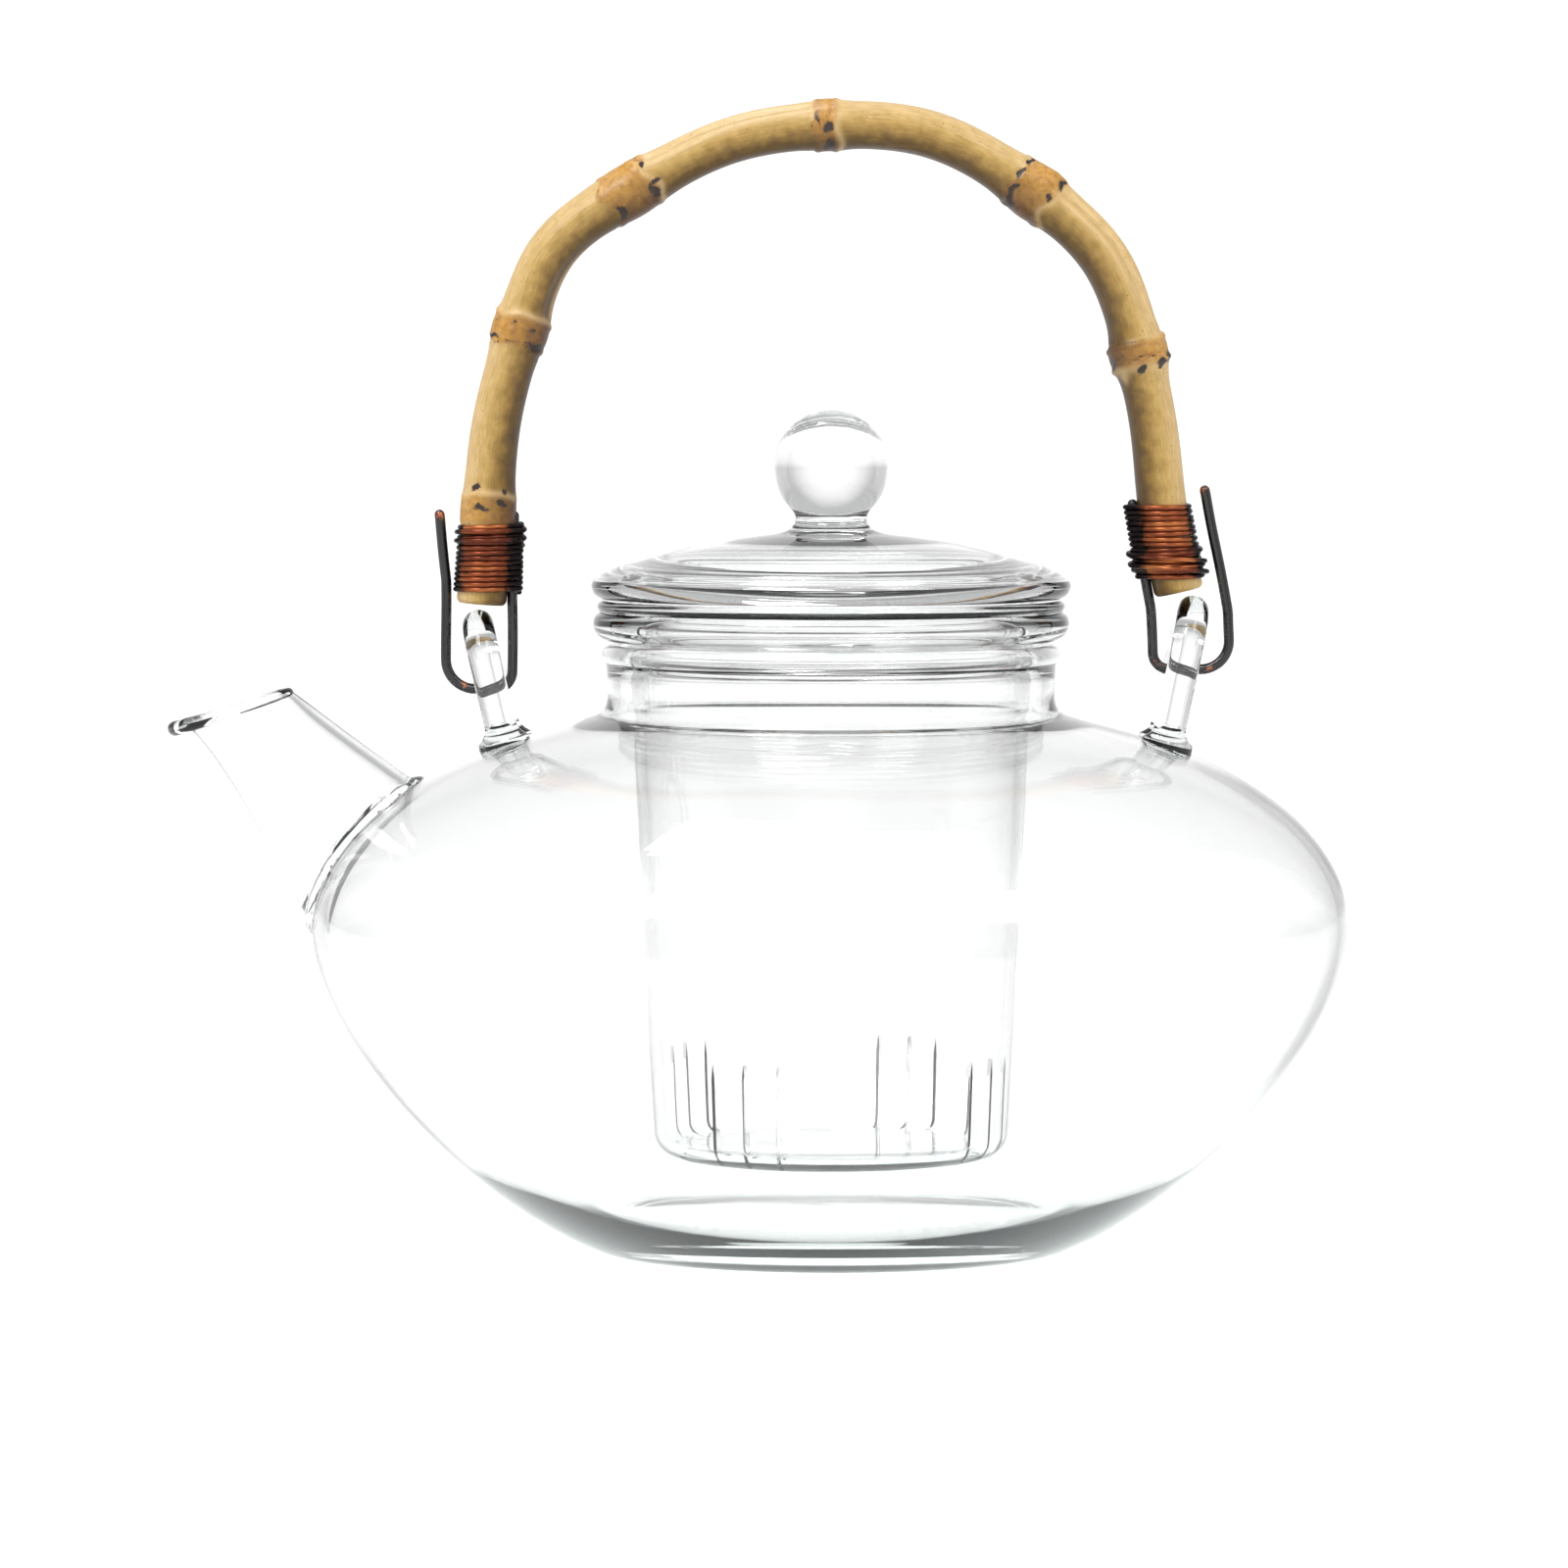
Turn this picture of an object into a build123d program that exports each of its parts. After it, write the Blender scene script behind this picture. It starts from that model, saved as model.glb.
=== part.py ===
from build123d import *
from math import cos, radians, sin
import os

# Glass teapot with a lift-out glass infuser, a knobbed glass lid and a bamboo bail handle.
# Millimetres, +Z up. The origin is the centre of the foot ring, on the surface the pot stands on.
# The spout points to -X, and the handle swings about an axis along X.

# Bowl, neck and rim
WALL = 2.0
BOWL_WIDEST = (90.0, 57.0)
SHOULDER_ARC_ENDS = [(83.8, 70.6), (66.1, 83.9), (45.0, 91.2)]
FLANK_ARC_ENDS = [(83.9, 38.0), (72.5, 22.8), (42.0, 0.0)]
FOOT_INNER_RADIUS = 37.0
FLOOR_WALL = 2.3
PUNT_HEIGHT = 4.5
PUNT_ARC_SHARES = (0.6, 0.62)
NECK_RADIUS = 38.9
NECK_WALL = 2.2
NECK_BASE_Z = 92.4
NECK_FILLET = 2.6
RIM_BEAD = 1.9
RIM_BEAD_PROUD = 0.9
RIM_TOP_Z = 104.8
RIM_CENTRE_Z = RIM_TOP_Z - RIM_BEAD

# Turned pieces stand on their lower face
STANDING = (Align.CENTER, Align.CENTER, Align.MIN)

# Clearance between glass pieces that rest on each other and lift off
REST_GAP = 0.3

# Infuser: a tapered cup that hangs by its lip on the pot's rim
INFUSER_TOP_RADIUS = 34.8
INFUSER_BOTTOM_RADIUS = 30.8
INFUSER_BOTTOM_Z = 16.0
INFUSER_WALL = 1.8
INFUSER_CORNER = 4.0
LIP_BOTTOM_Z = RIM_TOP_Z + REST_GAP
LIP_TOP_Z = 112.4
LIP_RADIUS = 41.3
LIP_BEVEL = 2.1
LIP_ROOT = 1.6
LIP_STEP_RADIUS = 40.6
LIP_STEP_Z = 110.4
LIP_STEP_HEIGHT = 0.5
LIP_FILLET = 0.9
SLIT_WIDTH = 0.9
SLIT_TOP_Z = 34.0
SLIT_POINT = 2.0
SLIT_INNER_RADIUS = 26.5
SLIT_GROUPS = 4
SLITS_PER_GROUP = 3
SLIT_PITCH = 11.5
FIRST_SLIT_GROUP = -118.7

# Lid: a shallow dome with a thick rim, a skirt that enters the infuser and a ball knob
LID_RADIUS = 41.6
LID_BEAD = 2.1
LID_BEAD_Z = LIP_TOP_Z + REST_GAP + LID_BEAD
LID_CROWN = (0.0, 124.2)
LID_SLOPE_POINTS = [(15.6, 123.2), (28.0, 120.6)]
LID_EDGE_SLOPE = 0.37
LID_WALL = 2.2
SKIRT_RADIUS = 32.2
SKIRT_WALL = 1.8
SKIRT_BOTTOM_Z = 104.0
KNOB_RADIUS = 10.0
KNOB_Z = 135.3
STEM_FLARE = (8.6, 123.1)
STEM_WAIST = (6.2, 126.8)
STEM_TOP = (7.4, 129.1)

# Spout: oval rings from inside the bowl to the mouth, each given by its top and bottom points
SPOUT_WALL = 1.8
SPOUT_BORE_PAST_MOUTH = 2.5
SPOUT_TOPS = [(-64.0, 74.0), (-71.3, 80.2), (-80.0, 86.6), (-87.5, 92.2), (-92.9, 96.3)]
SPOUT_BOTTOMS = [(-82.0, 50.0), (-91.6, 57.5), (-97.2, 68.0), (-103.4, 80.0), (-113.6, 91.2)]
SPOUT_HALF_WIDTHS = [13.0, 12.2, 10.4, 8.8, 7.6]

# Ears: glass rod loops that stand on the shoulder in planes along Y and lean outward
EAR_ROD_RADIUS = 2.8
EAR_LOOP_RADIUS = 6.4
EAR_FOOT_RADIUS = 4.4
EAR_FOOT_HEIGHT = 5.0
LEFT_EAR_FOOT = (-56.3, 87.0)
LEFT_EAR_TOP = (-62.4, 110.5)
RIGHT_EAR_FOOT = (58.0, 87.0)
RIGHT_EAR_TOP = (63.8, 113.0)

# Handle: a bent cane, its ends just above the ears, swinging about the wires in the ears
CANE_RADIUS = 4.15
NODE_RADIUS = 4.9
CANE_TOP = (-1.3, 194.4)
LEFT_NODES = [(-34.6, 182.9), (-53.9, 158.6)]
LEFT_END = (-60.5, 111.7)
RIGHT_NODES = [(35.5, 183.2), (53.6, 155.5)]
RIGHT_END = (60.3, 113.8)

# Hook wires: one leg bound to the cane, a U through the ear, and a free outer leg
WIRE_RADIUS = 0.9
LEFT_HOOK = [(-54.9, 127.0), (-55.2, 112.0), (-55.2, 97.0), (-66.7, 97.0), (-66.7, 116.0), (-67.8, 127.2)]
RIGHT_HOOK = [(52.2, 129.0), (55.4, 111.0), (55.9, 100.4), (69.2, 100.4), (68.8, 110.5), (64.7, 131.4)]
HOOK_BEND = 3.0
LEG_BEND = 12.0

# Bindings: fine wire wound round the cane and the hook's inner leg
BINDING_WALL = 1.0
LEFT_BINDING_Z = (113.4, 126.0)
RIGHT_BINDING_Z = (115.6, 129.4)
BINDING_SEARCH_STEPS = 40


def turned(*curves):
    """A solid of revolution about Z, from curves that close in radius and height."""
    return revolve(Plane.XZ * make_face(list(curves)), Axis.Z)


def rounded(face_curves, corners):
    """A turned solid whose outline's corners, given as (radius, height, fillet), are rounded."""
    face = make_face(list(face_curves))
    for radius, height, size in corners:
        corner = face.vertices().sort_by_distance((radius, height, 0))[0]
        face = fillet(corner, size)
    return revolve(Plane.XZ * face, Axis.Z)


def tangent_run(start, tangent, points):
    """Arcs through the points, each starting in the direction that the last one ended in."""
    arcs = []
    for point in points:
        arc = TangentArc(start, point, tangent=tangent)
        arcs.append(arc)
        start = point
        tangent = arc % 1
    return arcs


def bowl_arcs(depth):
    """The bowl's outline from its widest point up to the shoulder and down to the foot, set in by a depth."""
    start = (BOWL_WIDEST[0] - depth, BOWL_WIDEST[1])
    runs = []
    for ends, upward in ((SHOULDER_ARC_ENDS, 1), (FLANK_ARC_ENDS, -1)):
        outer_arcs = tangent_run(BOWL_WIDEST, (0, upward), ends)
        inner_ends = []
        for arc in outer_arcs:
            along = arc % 1
            end = arc @ 1
            inner_ends.append((end.X - upward * depth * along.Y, end.Y + upward * depth * along.X))
        runs.append(tangent_run(start, (0, upward), inner_ends))
    return runs


def end_point(arcs):
    """The radius and height where a run of arcs ends."""
    end = arcs[-1] @ 1
    return (end.X, end.Y)


def make_bowl_block():
    """The bowl and neck as one full body, with no hollow and no punt."""
    shoulder, flank = bowl_arcs(0)
    curves = [
        *shoulder,
        Polyline(
            end_point(shoulder),
            (NECK_RADIUS, NECK_BASE_Z),
            (NECK_RADIUS, RIM_CENTRE_Z),
            (0, RIM_CENTRE_Z),
            (0, 0),
            end_point(flank),
        ),
        *flank,
    ]
    return rounded(curves, [(NECK_RADIUS, NECK_BASE_Z, NECK_FILLET)])


def punt_arc(lift, edge):
    """The pushed-up base's arc in radius and height, raised by a lift, out to an edge point."""
    share_out, share_up = PUNT_ARC_SHARES
    middle = (FOOT_INNER_RADIUS * share_out, PUNT_HEIGHT * share_up + lift)
    return ThreePointArc((0, PUNT_HEIGHT + lift), middle, edge)


def make_hollow():
    """The space inside the bowl and neck, open through the rim."""
    shoulder, flank = bowl_arcs(WALL)
    neck_inner = NECK_RADIUS - NECK_WALL
    neck_base = (neck_inner, NECK_BASE_Z - WALL)
    floor = punt_arc(FLOOR_WALL, (FOOT_INNER_RADIUS + 1, FLOOR_WALL))
    curves = [
        *shoulder,
        Polyline(end_point(shoulder), neck_base, (neck_inner, RIM_TOP_Z), (0, RIM_TOP_Z), floor @ 0),
        floor,
        Line(floor @ 1, end_point(flank)),
        *flank,
    ]
    return rounded(curves, [(*neck_base, NECK_FILLET)])


def make_pot(bowl_block, spout_bore):
    """The bowl with its punt and the hole behind the spout, and the neck with its rim bead."""
    punt = turned(
        punt_arc(0, (FOOT_INNER_RADIUS, 0)),
        Polyline((FOOT_INNER_RADIUS, 0), (0, 0), (0, PUNT_HEIGHT)),
    )
    bead = Pos(0, 0, RIM_CENTRE_Z) * Torus(NECK_RADIUS + RIM_BEAD_PROUD - RIM_BEAD, RIM_BEAD)
    shell = bowl_block - make_hollow() + bead - punt - spout_bore
    halves = split(shell, Plane.XY.offset(NECK_BASE_Z + NECK_FILLET), keep=Keep.BOTH)
    return halves.solids().sort_by(Axis.Z)


def spout_ring(top, bottom, half_width, wall):
    """One oval ring of the spout, shrunk by a wall."""
    high = Vector(top[0], 0, top[1])
    low = Vector(bottom[0], 0, bottom[1])
    across = (high - low).normalized()
    plane = Plane(origin=(high + low) / 2, x_dir=across, z_dir=across.cross(Vector(0, 1, 0)))
    return plane * Ellipse((high - low).length / 2 - wall, half_width - wall)


def spout_loft(wall, past_mouth=0.0):
    """The spout's rings shrunk by a wall and joined, and carried on past the mouth by a length."""
    rings = [spout_ring(*ring, wall) for ring in zip(SPOUT_TOPS, SPOUT_BOTTOMS, SPOUT_HALF_WIDTHS)]
    body = loft(rings)
    if past_mouth:
        body += extrude(rings[-1], past_mouth, both=True)
    return body


def make_spout(bowl_block, bore):
    """The pouring spout, cut to the bowl's outside and open from the bowl to its mouth."""
    return spout_loft(0) - bore - bowl_block


def make_ear(foot, top, bowl_block):
    """One rod loop: two legs on the shoulder and a half circle over them."""
    up = (Vector(top[0], 0, top[1]) - Vector(foot[0], 0, foot[1])).normalized()
    plane = Plane(origin=(foot[0], 0, foot[1]), x_dir=(0, 1, 0), z_dir=Vector(0, 1, 0).cross(up))
    rise = (Vector(top[0], 0, top[1]) - plane.origin).length
    spring = rise - EAR_ROD_RADIUS - EAR_LOOP_RADIUS
    reach = EAR_LOOP_RADIUS
    path = Curve() + [
        Line((-reach, 0), (-reach, spring)),
        ThreePointArc((-reach, spring), (0, spring + reach), (reach, spring)),
        Line((reach, spring), (reach, 0)),
    ]
    path = Wire((plane * path).edges())
    start = Plane(origin=path @ 0, z_dir=path % 0)
    rod = sweep(start * Circle(EAR_ROD_RADIUS), path=path)
    flare = Cone(EAR_FOOT_RADIUS, EAR_ROD_RADIUS, EAR_FOOT_HEIGHT, align=STANDING)
    for side in (-reach, reach):
        rod += Plane(origin=plane.from_local_coords((side, 0, 0)), z_dir=up) * flare
    return rod - bowl_block


def make_infuser_cup():
    """The cup with its rolled lip and four groups of slits cut through wall and floor edge."""
    taper_top_z = LIP_BOTTOM_Z - LIP_BEVEL
    bevel_top_z = LIP_BOTTOM_Z + LIP_BEVEL
    bead_top_z = LIP_STEP_Z - LIP_STEP_HEIGHT
    outline = Polyline(
        (0, INFUSER_BOTTOM_Z),
        (INFUSER_BOTTOM_RADIUS, INFUSER_BOTTOM_Z),
        (INFUSER_TOP_RADIUS, taper_top_z),
        (INFUSER_TOP_RADIUS + LIP_ROOT, LIP_BOTTOM_Z),
        (LIP_RADIUS - LIP_BEVEL, LIP_BOTTOM_Z),
        (LIP_RADIUS, bevel_top_z),
        (LIP_RADIUS, bead_top_z),
        (LIP_STEP_RADIUS - LIP_STEP_HEIGHT, LIP_STEP_Z),
        (LIP_STEP_RADIUS, LIP_STEP_Z + LIP_STEP_HEIGHT),
        (LIP_STEP_RADIUS, LIP_TOP_Z),
        (0, LIP_TOP_Z),
        close=True,
    )
    outer_corners = [
        (INFUSER_BOTTOM_RADIUS, INFUSER_BOTTOM_Z, INFUSER_CORNER),
        (LIP_RADIUS, bevel_top_z, LIP_FILLET),
        (LIP_RADIUS, bead_top_z, LIP_FILLET),
        (LIP_STEP_RADIUS, LIP_TOP_Z, LIP_FILLET),
    ]
    floor_z = INFUSER_BOTTOM_Z + INFUSER_WALL
    inner_bottom = INFUSER_BOTTOM_RADIUS - INFUSER_WALL
    inner_top = INFUSER_TOP_RADIUS - INFUSER_WALL
    hollow_outline = Polyline(
        (0, floor_z),
        (inner_bottom, floor_z),
        (inner_top, taper_top_z),
        (inner_top, LIP_TOP_Z),
        (0, LIP_TOP_Z),
        close=True,
    )
    inner_corners = [(inner_bottom, floor_z, INFUSER_CORNER - INFUSER_WALL)]
    cup = rounded(outline.edges(), outer_corners) - rounded(hollow_outline.edges(), inner_corners)
    for group in range(SLIT_GROUPS):
        for slit in range(SLITS_PER_GROUP):
            offset = (slit - (SLITS_PER_GROUP - 1) / 2) * SLIT_PITCH
            angle = FIRST_SLIT_GROUP + group * 360 / SLIT_GROUPS + offset
            cup -= Rot(0, 0, angle) * slit_cutter()
    return cup


def slit_cutter():
    """A thin blade with a pointed top, lying along +X."""
    half = SLIT_WIDTH / 2
    low = INFUSER_BOTTOM_Z - SLIT_POINT
    high = SLIT_TOP_Z - SLIT_POINT
    blade = Polyline((-half, low), (half, low), (half, high), (0, SLIT_TOP_Z), (-half, high), close=True)
    face = Plane(origin=(SLIT_INNER_RADIUS, 0, 0), x_dir=(0, 1, 0), z_dir=(1, 0, 0)) * make_face(blade)
    return extrude(face, 2 * INFUSER_CORNER)


def make_lid_dome():
    """The shallow dome with its thick rounded rim."""
    centre = LID_RADIUS - LID_BEAD
    edge_tangent = (1, -LID_EDGE_SLOPE)
    top_edge = (centre, LID_BEAD_Z + LID_BEAD)
    under_edge = (centre, LID_BEAD_Z)
    under_points = [(radius, height - LID_WALL) for radius, height in (LID_CROWN, *LID_SLOPE_POINTS)]
    dome = turned(
        Spline(LID_CROWN, *LID_SLOPE_POINTS, top_edge, tangents=[(1, 0), edge_tangent]),
        Line(top_edge, under_edge),
        Spline(*under_points, under_edge, tangents=[(1, 0), edge_tangent]),
        Line(LID_CROWN, under_points[0]),
    )
    return dome + Pos(0, 0, LID_BEAD_Z) * Torus(centre, LID_BEAD)


def make_lid_skirt(dome):
    """The short tube under the dome, trimmed to the dome's underside."""
    height = LID_BEAD_Z + LID_BEAD - SKIRT_BOTTOM_Z
    tube = Cylinder(SKIRT_RADIUS, height, align=STANDING)
    tube -= Cylinder(SKIRT_RADIUS - SKIRT_WALL, height, align=STANDING)
    return Pos(0, 0, SKIRT_BOTTOM_Z) * tube - dome


def make_lid_knob(dome):
    """The solid ball and its flared stem, trimmed to the top of the dome."""
    foot_z = STEM_FLARE[1]
    stem = turned(
        Line((0, foot_z), STEM_FLARE),
        Spline(STEM_FLARE, STEM_WAIST, STEM_TOP, tangents=[(-1, 0.3), (1, 2)]),
        Polyline(STEM_TOP, (0, KNOB_Z), (0, foot_z)),
    )
    return stem + Pos(0, 0, KNOB_Z) * Sphere(KNOB_RADIUS) - dome


def cane_arcs():
    """The cane's centre line, as arcs from the crown down to each end."""
    left = tangent_run(CANE_TOP, (-1, 0), [*LEFT_NODES, LEFT_END])
    right = tangent_run(CANE_TOP, (1, 0), [*RIGHT_NODES, RIGHT_END])
    return left, right


def make_bamboo_handle(left_arcs, right_arcs):
    """The bent cane with a swelling at each node."""
    cane = Pos(CANE_TOP[0], 0, CANE_TOP[1]) * Sphere(NODE_RADIUS)
    for arcs in (left_arcs, right_arcs):
        path = Wire((Plane.XZ * (Curve() + arcs)).edges())
        start = Plane(origin=path @ 0, z_dir=path % 0)
        cane += sweep(start * Circle(CANE_RADIUS), path=path)
    for x, z in [*LEFT_NODES, *RIGHT_NODES]:
        cane += Pos(x, 0, z) * Sphere(NODE_RADIUS)
    return cane


def make_hook_wire(points):
    """A bent wire hook: tight bends at the foot of the U and gentle ones in its legs."""
    bends = [LEG_BEND, HOOK_BEND, HOOK_BEND, LEG_BEND]
    path = Plane.XZ * FilletPolyline(*points, radius=bends)
    path = Wire(path.edges())
    start = Plane(origin=path @ 0, z_dir=path % 0)
    wire = sweep(start * Circle(WIRE_RADIUS), path=path)
    return wire + Pos(path @ 0) * Sphere(WIRE_RADIUS) + Pos(path @ 1) * Sphere(WIRE_RADIUS)


def point_at_height(curve, height):
    """The X of a rising or falling curve, drawn in X and Z, where it passes a height."""
    low, high = sorted((0.0, 1.0), key=lambda share: (curve @ share).Y)
    for _ in range(BINDING_SEARCH_STEPS):
        middle = (low + high) / 2
        if (curve @ middle).Y < height:
            low = middle
        else:
            high = middle
    return (curve @ low).X


def make_binding(cane_end, hook_points, z_range, cane, hook):
    """The wound sleeve round the cane and the hook's inner leg, filling the gaps between them."""
    leg = Line(*hook_points[:2])
    sections = []
    for height in z_range:
        round_cane = Pos(point_at_height(cane_end, height), 0) * Circle(CANE_RADIUS + BINDING_WALL)
        round_leg = Pos(point_at_height(leg, height), 0) * Circle(WIRE_RADIUS + BINDING_WALL)
        hull = make_hull([*round_cane.edges(), *round_leg.edges()])
        sections.append(Pos(0, 0, height) * hull)
    return loft(sections) - cane - hook


os.makedirs("parts", exist_ok=True)

bowl_block = make_bowl_block()
spout_bore = spout_loft(SPOUT_WALL, SPOUT_BORE_PAST_MOUTH)
bowl, neck = make_pot(bowl_block, spout_bore)
dome = make_lid_dome()
left_arcs, right_arcs = cane_arcs()
cane = make_bamboo_handle(left_arcs, right_arcs)
left_hook = make_hook_wire(LEFT_HOOK)
right_hook = make_hook_wire(RIGHT_HOOK)

nodes = {
    "pot_body": bowl,
    "pot_neck": neck,
    "spout": make_spout(bowl_block, spout_bore),
    "left_ear": make_ear(LEFT_EAR_FOOT, LEFT_EAR_TOP, bowl_block),
    "right_ear": make_ear(RIGHT_EAR_FOOT, RIGHT_EAR_TOP, bowl_block),
    "infuser_cup": make_infuser_cup(),
    "lid_dome": dome,
    "lid_skirt": make_lid_skirt(dome),
    "lid_knob": make_lid_knob(dome),
    "bamboo_handle": cane,
    "left_hook_wire": left_hook,
    "right_hook_wire": right_hook,
    "left_binding_wire": make_binding(left_arcs[-1], LEFT_HOOK, LEFT_BINDING_Z, cane, left_hook),
    "right_binding_wire": make_binding(right_arcs[-1], RIGHT_HOOK, RIGHT_BINDING_Z, cane, right_hook),
}

for name, shape in nodes.items():
    export_step(shape, f"parts/{name}.step")
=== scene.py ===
import math
import random

import bmesh
import bpy
import numpy as np
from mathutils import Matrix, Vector


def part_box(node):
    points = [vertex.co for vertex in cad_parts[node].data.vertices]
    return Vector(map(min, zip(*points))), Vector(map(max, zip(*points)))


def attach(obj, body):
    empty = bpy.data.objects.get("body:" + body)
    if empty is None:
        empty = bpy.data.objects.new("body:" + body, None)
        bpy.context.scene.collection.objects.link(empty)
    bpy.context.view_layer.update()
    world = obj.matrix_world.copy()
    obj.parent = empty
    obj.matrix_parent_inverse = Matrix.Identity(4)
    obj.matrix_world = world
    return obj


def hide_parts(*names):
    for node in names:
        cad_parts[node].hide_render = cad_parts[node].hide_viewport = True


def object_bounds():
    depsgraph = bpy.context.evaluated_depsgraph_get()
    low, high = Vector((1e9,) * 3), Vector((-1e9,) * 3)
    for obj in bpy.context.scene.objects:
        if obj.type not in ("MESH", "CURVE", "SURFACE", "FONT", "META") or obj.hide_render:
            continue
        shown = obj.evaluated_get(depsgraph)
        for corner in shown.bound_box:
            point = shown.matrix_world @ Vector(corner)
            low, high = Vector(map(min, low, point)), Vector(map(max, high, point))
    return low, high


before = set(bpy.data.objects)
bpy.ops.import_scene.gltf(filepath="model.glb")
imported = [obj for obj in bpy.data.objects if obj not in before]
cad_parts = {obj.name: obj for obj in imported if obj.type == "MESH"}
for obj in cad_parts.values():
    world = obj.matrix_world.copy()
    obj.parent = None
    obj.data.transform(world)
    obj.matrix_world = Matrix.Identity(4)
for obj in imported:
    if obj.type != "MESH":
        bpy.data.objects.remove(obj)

# A glass teapot with a glass infuser, a knobbed lid and a bamboo handle.
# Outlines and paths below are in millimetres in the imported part's frame, and become metres in the meshes.
MM = 0.001
cad_low, cad_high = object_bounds()


def box_mm(node):
    """A CAD node's lowest and highest corners in millimetres."""
    low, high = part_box(node)
    return low / MM, high / MM


RIM_TOP = box_mm("pot_neck")[1].z
LIP_TOP = box_mm("infuser_cup")[1].z
CUP_BOTTOM = box_mm("infuser_cup")[0].z
LID_BOTTOM = box_mm("lid_dome")[0].z
LID_RADIUS = box_mm("lid_dome")[1].x
SKIRT_BOTTOM = box_mm("lid_skirt")[0].z
SKIRT_RADIUS = box_mm("lid_skirt")[1].x
KNOB_TOP = box_mm("lid_knob")[1].z

WALL = 2.0
LATHE_SIDES = 192


# ---------------------------------------------------------------- curves

def smooth(points, spacing, start=None, end=None):
    """Evenly curved points through the given ones; start and end may give the directions there."""
    knots = np.array(points, float)
    reach = np.linalg.norm(np.diff(knots, axis=0), axis=1)
    count = len(knots)
    system = np.zeros((count, count))
    target = np.zeros((count, knots.shape[1]))
    slope = np.diff(knots, axis=0) / reach[:, None]
    for i in range(1, count - 1):
        system[i, i - 1:i + 2] = (reach[i - 1], 2 * (reach[i - 1] + reach[i]), reach[i])
        target[i] = 6 * (slope[i] - slope[i - 1])
    for row, near, direction in ((0, 1, start), (count - 1, count - 2, end)):
        if direction is None:
            system[row, row] = 1
            continue
        span = reach[min(row, near)]
        system[row, row] = 2 * span
        system[row, near] = span
        unit = np.array(direction, float) / np.linalg.norm(direction)
        target[row] = 6 * (slope[0] - unit) if row == 0 else 6 * (unit - slope[-1])
    bend = np.linalg.solve(system, target)
    curve = []
    for i, span in enumerate(reach):
        steps = max(2, round(span / spacing))
        for step in range(steps):
            b = step / steps
            a = 1 - b
            point = a * knots[i] + b * knots[i + 1]
            point = point + ((a ** 3 - a) * bend[i] + (b ** 3 - b) * bend[i + 1]) * span ** 2 / 6
            curve.append(tuple(point))
    curve.append(tuple(knots[-1]))
    return curve


def arc(centre, radius, first, last, steps=10):
    """Points on a circle between two angles in degrees, both ends included."""
    points = []
    for step in range(steps + 1):
        angle = math.radians(first + (last - first) * step / steps)
        points.append((centre[0] + radius * math.cos(angle), centre[1] + radius * math.sin(angle)))
    return points


def inset(outline, depth):
    """The outline moved to its left by a depth, which may be a function of the height."""
    line = np.array(outline, float)
    along = np.gradient(line, axis=0)
    along /= np.linalg.norm(along, axis=1)[:, None]
    moved = []
    for (radius, height), (right, up) in zip(line, along):
        amount = depth(height) if callable(depth) else depth
        moved.append((radius - up * amount, height + right * amount))
    return moved


def rounded_path(points, bends):
    """A path of straight runs with an arc of the given size at each inner point."""
    path = [Vector(points[0])]
    for before, corner, after, size in zip(points, points[1:], points[2:], bends):
        corner = Vector(corner)
        back = (Vector(before) - corner).normalized()
        ahead = (Vector(after) - corner).normalized()
        half = back.angle(ahead) / 2
        cut = size / math.tan(half)
        centre = corner + (back + ahead).normalized() * size / math.sin(half)
        first = corner + back * cut - centre
        last = corner + ahead * cut - centre
        turn = first.angle(last)
        steps = max(3, round(math.degrees(turn) / 7))
        for step in range(steps + 1):
            share = step / steps
            spot = first * math.sin((1 - share) * turn) + last * math.sin(share * turn)
            path.append(centre + spot / math.sin(turn))
    path.append(Vector(points[-1]))
    return path


# ---------------------------------------------------------------- meshes

def new_object(name, verts, faces, sharp=40):
    """An object from vertices in millimetres, with its faces turned outward and smoothed."""
    mesh = bpy.data.meshes.new(name)
    mesh.from_pydata([Vector(v) * MM for v in verts], [], faces)
    obj = bpy.data.objects.new(name, mesh)
    bpy.context.scene.collection.objects.link(obj)
    clean(obj, sharp)
    return obj


def clean(obj, sharp=40):
    """Welds coincident vertices, turns the faces outward and shades all but sharp edges smooth."""
    mesh = obj.data
    work = bmesh.new()
    work.from_mesh(mesh)
    bmesh.ops.remove_doubles(work, verts=work.verts, dist=0.00001)
    bmesh.ops.recalc_face_normals(work, faces=work.faces)
    if work.calc_volume(signed=True) < 0:
        bmesh.ops.reverse_faces(work, faces=work.faces)
    work.to_mesh(mesh)
    work.free()
    shade(obj, sharp)


def shade(obj, sharp=40):
    """Shades all but sharp edges smooth; a mesh cut by booleans gets only this, never a weld."""
    mesh = obj.data
    mesh.polygons.foreach_set("use_smooth", [True] * len(mesh.polygons))
    mesh.set_sharp_from_angle(angle=math.radians(sharp))


def lathe(name, outline, sides=LATHE_SIDES, sharp=40):
    """A closed mesh turned about Z from an outline that starts and ends on the axis."""
    verts = [(0, 0, outline[0][1])]
    for radius, height in outline[1:-1]:
        for side in range(sides):
            angle = math.tau * side / sides
            verts.append((radius * math.cos(angle), radius * math.sin(angle), height))
    verts.append((0, 0, outline[-1][1]))
    faces = []
    last = len(verts) - 1
    rings = len(outline) - 2
    for side in range(sides):
        after = (side + 1) % sides
        faces.append((0, 1 + after, 1 + side))
        for ring in range(rings - 1):
            low = 1 + ring * sides
            high = low + sides
            faces.append((low + side, low + after, high + after, high + side))
        top = 1 + (rings - 1) * sides
        faces.append((top + side, top + after, last))
    return new_object(name, verts, faces, sharp)


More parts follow.
